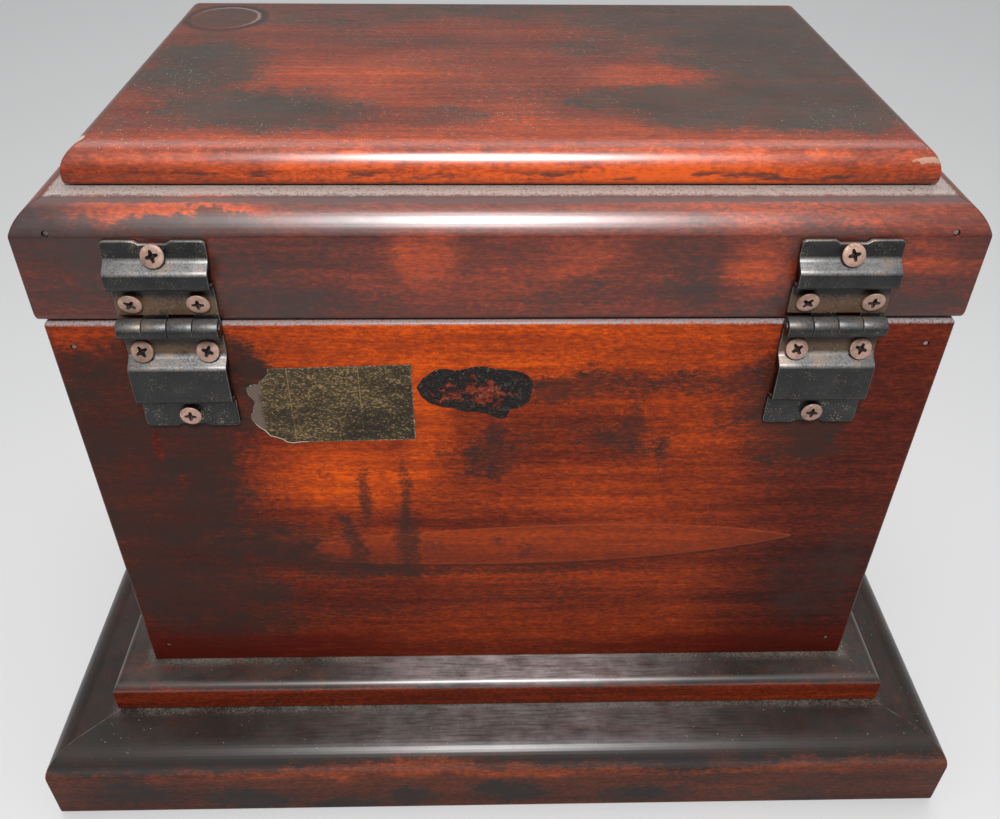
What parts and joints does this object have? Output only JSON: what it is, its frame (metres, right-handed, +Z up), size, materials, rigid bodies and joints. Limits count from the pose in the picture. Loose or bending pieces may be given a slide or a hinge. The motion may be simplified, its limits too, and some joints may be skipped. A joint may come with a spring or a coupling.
{
  "type": "wooden chest",
  "caption": "Small stained wooden chest on a stepped plinth, with a hinged moulded lid on two formed steel leaf hinges, for keeping small things.",
  "frame": {"origin": "on the floor under the middle of the plinth", "axes": "+Z up, +X to the chest's right as seen from its front, front towards -Y, hinged back towards +Y"},
  "size_m": [0.292, 0.2142, 0.2127],
  "materials": {
    "base_wood": "dark red-brown stain, dusty satin lacquer",
    "body_wood": "red-brown mottled stain, satin lacquer",
    "lid_wood": "orange-red mottled stain, gloss lacquer",
    "bare_wood": "unfinished",
    "nail_steel": "dull",
    "hinge_steel": "worn black patina with rust",
    "screw_steel": "tarnished, coppery rust"
  },
  "bodies": {
    "chest": {"base_board": "base_wood", "body_back_board": "body_wood", "body_back_nail_1": "nail_steel", "body_back_nail_2": "nail_steel", "body_back_nail_3": "nail_steel", "body_back_nail_4": "nail_steel", "body_front_board": "body_wood", "body_front_nail_1": "nail_steel", "body_front_nail_2": "nail_steel", "body_front_nail_3": "nail_steel", "body_front_nail_4": "nail_steel", "body_left_board": "body_wood", "body_right_board": "body_wood", "corner_block_back_left": "bare_wood", "corner_block_back_right": "bare_wood", "corner_block_front_left": "bare_wood", "corner_block_front_right": "bare_wood", "hinge_left_body_screw_1": "screw_steel", "hinge_left_body_screw_2": "screw_steel", "hinge_left_body_screw_3": "screw_steel", "hinge_left_lower_leaf": "hinge_steel", "hinge_left_pin": "hinge_steel", "hinge_right_body_screw_1": "screw_steel", "hinge_right_body_screw_2": "screw_steel", "hinge_right_body_screw_3": "screw_steel", "hinge_right_lower_leaf": "hinge_steel", "hinge_right_pin": "hinge_steel", "plinth_back_rail": "base_wood", "plinth_front_rail": "base_wood", "plinth_left_rail": "base_wood", "plinth_right_rail": "base_wood"},
    "lid": {"hinge_left_lid_screw_1": "screw_steel", "hinge_left_lid_screw_2": "screw_steel", "hinge_left_lid_screw_3": "screw_steel", "hinge_left_upper_leaf": "hinge_steel", "hinge_right_lid_screw_1": "screw_steel", "hinge_right_lid_screw_2": "screw_steel", "hinge_right_lid_screw_3": "screw_steel", "hinge_right_upper_leaf": "hinge_steel", "lid_back_nail_1": "nail_steel", "lid_back_nail_2": "nail_steel", "lid_back_rail": "lid_wood", "lid_front_nail_1": "nail_steel", "lid_front_nail_2": "nail_steel", "lid_front_rail": "lid_wood", "lid_left_rail": "lid_wood", "lid_right_rail": "lid_wood", "lid_top_board": "lid_wood"}
  },
  "joints": [
    {"name": "lid_hinge", "type": "hinge", "parent": "chest", "child": "lid", "pos_m": [0, 0.079, 0.17215], "axis": [-1, 0, 0], "range_deg": [0, 160]}
  ]
}
